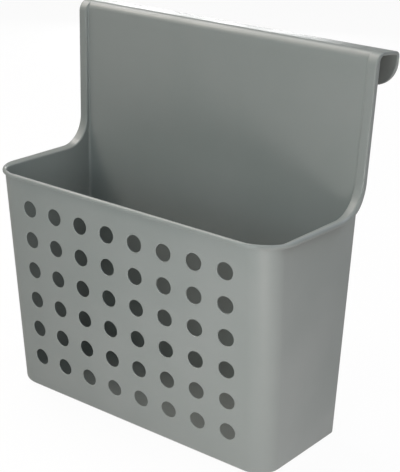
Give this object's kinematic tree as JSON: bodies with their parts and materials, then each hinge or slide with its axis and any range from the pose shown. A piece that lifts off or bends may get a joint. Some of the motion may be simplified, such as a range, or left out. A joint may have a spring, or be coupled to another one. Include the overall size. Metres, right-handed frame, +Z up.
{
  "type": "hanging shower basket",
  "caption": "Deep plastic basket with a bowed, perforated front, a turned-out rim that sweeps up both edges of a tall back panel, and a full-width hook for the top of a screen or door.",
  "frame": {"origin": "on the plane of the underside, below the middle of the whole outline seen from above", "axes": "+Z up, from the underside towards the hook; the perforated front faces -Y and the hook reaches towards +Y; +X to the right for someone who looks at the front"},
  "size_m": [0.2616, 0.131, 0.2832],
  "materials": {
    "plastic": "satin injection-moulded, slightly cool grey"
  },
  "bodies": {
    "root": {"floor": "plastic", "front_wall": "plastic", "left_wall": "plastic", "right_wall": "plastic", "back_panel": "plastic", "hook_top": "plastic", "hook_flange": "plastic"}
  },
  "joints": []
}
